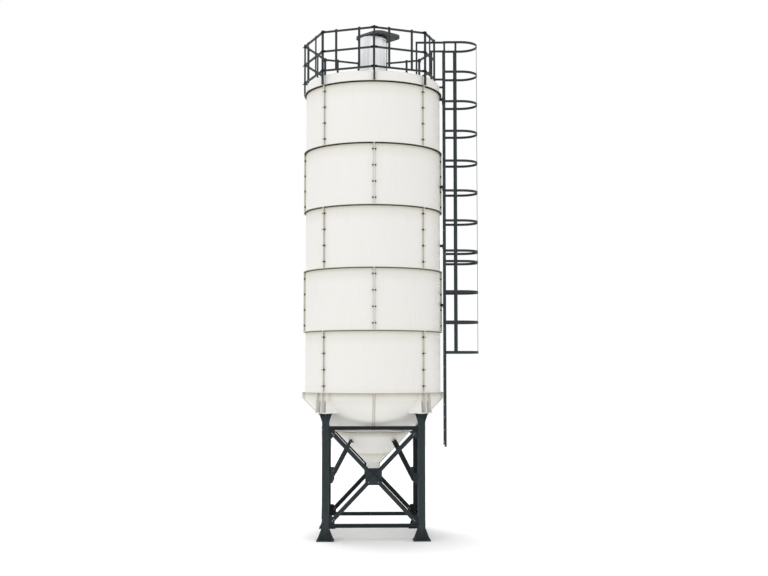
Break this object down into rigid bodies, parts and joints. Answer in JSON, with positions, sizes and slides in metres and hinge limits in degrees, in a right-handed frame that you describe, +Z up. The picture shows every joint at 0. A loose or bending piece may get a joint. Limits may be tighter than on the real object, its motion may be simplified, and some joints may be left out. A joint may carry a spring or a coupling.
{
  "type": "cement silo",
  "caption": "Bolted steel cement silo on four braced legs, with hopper, caged side ladder, roof guard rail and a vent filter.",
  "frame": {"origin": "the silo's vertical axis at ground level, in the middle of the four feet", "axes": "+Z up, -Y the front with a leg at each side, +X towards the ladder"},
  "size_m": [3.9422, 3.188, 11.165],
  "materials": {
    "cream_paint": "satin",
    "dark_frame_paint": "satin",
    "dark_ladder_paint": "satin",
    "hood_paint": "satin",
    "bare_steel": "brushed"
  },
  "bodies": {
    "root": {"back_left_leg": "dark_frame_paint", "back_right_leg": "dark_frame_paint", "bottom_beams": "dark_frame_paint", "cage_hoops_1": "dark_ladder_paint", "cage_hoops_2": "dark_ladder_paint", "cage_hoops_3": "dark_ladder_paint", "cage_hoops_4": "dark_ladder_paint", "cage_straps": "dark_ladder_paint", "filter_collar": "cream_paint", "filter_drum": "bare_steel", "filter_hood": "hood_paint", "filter_tie_rods": "bare_steel", "front_and_back_braces": "dark_frame_paint", "front_left_leg": "dark_frame_paint", "front_right_leg": "dark_frame_paint", "guard_panels_back": "dark_ladder_paint", "guard_panels_beside_ladder": "dark_ladder_paint", "guard_panels_front": "dark_ladder_paint", "guard_panels_left": "dark_ladder_paint", "guard_posts": "dark_ladder_paint", "hopper_front_left_and_back_right_plates": "cream_paint", "hopper_front_right_and_back_left_plates": "cream_paint", "hopper_lower_cone": "cream_paint", "hopper_struts": "dark_frame_paint", "ladder_brackets": "dark_ladder_paint", "ladder_hand_rails": "dark_ladder_paint", "ladder_lower_section": "dark_ladder_paint", "ladder_upper_section": "dark_ladder_paint", "leg_consoles": "cream_paint", "outlet_collar": "cream_paint", "roof_front_and_back_sectors": "cream_paint", "roof_left_and_right_sectors": "cream_paint", "side_braces": "dark_frame_paint", "tier_1_front_and_back_panels": "cream_paint", "tier_1_left_and_right_panels": "cream_paint", "tier_2_front_left_and_back_right_panels": "cream_paint", "tier_2_front_right_and_back_left_panels": "cream_paint", "tier_3_front_and_back_panels": "cream_paint", "tier_3_left_and_right_panels": "cream_paint", "tier_4_front_left_and_back_right_panels": "cream_paint", "tier_4_front_right_and_back_left_panels": "cream_paint", "tier_5_front_and_back_panels": "cream_paint", "tier_5_left_and_right_panels": "cream_paint", "top_beams": "dark_frame_paint"}
  },
  "joints": []
}
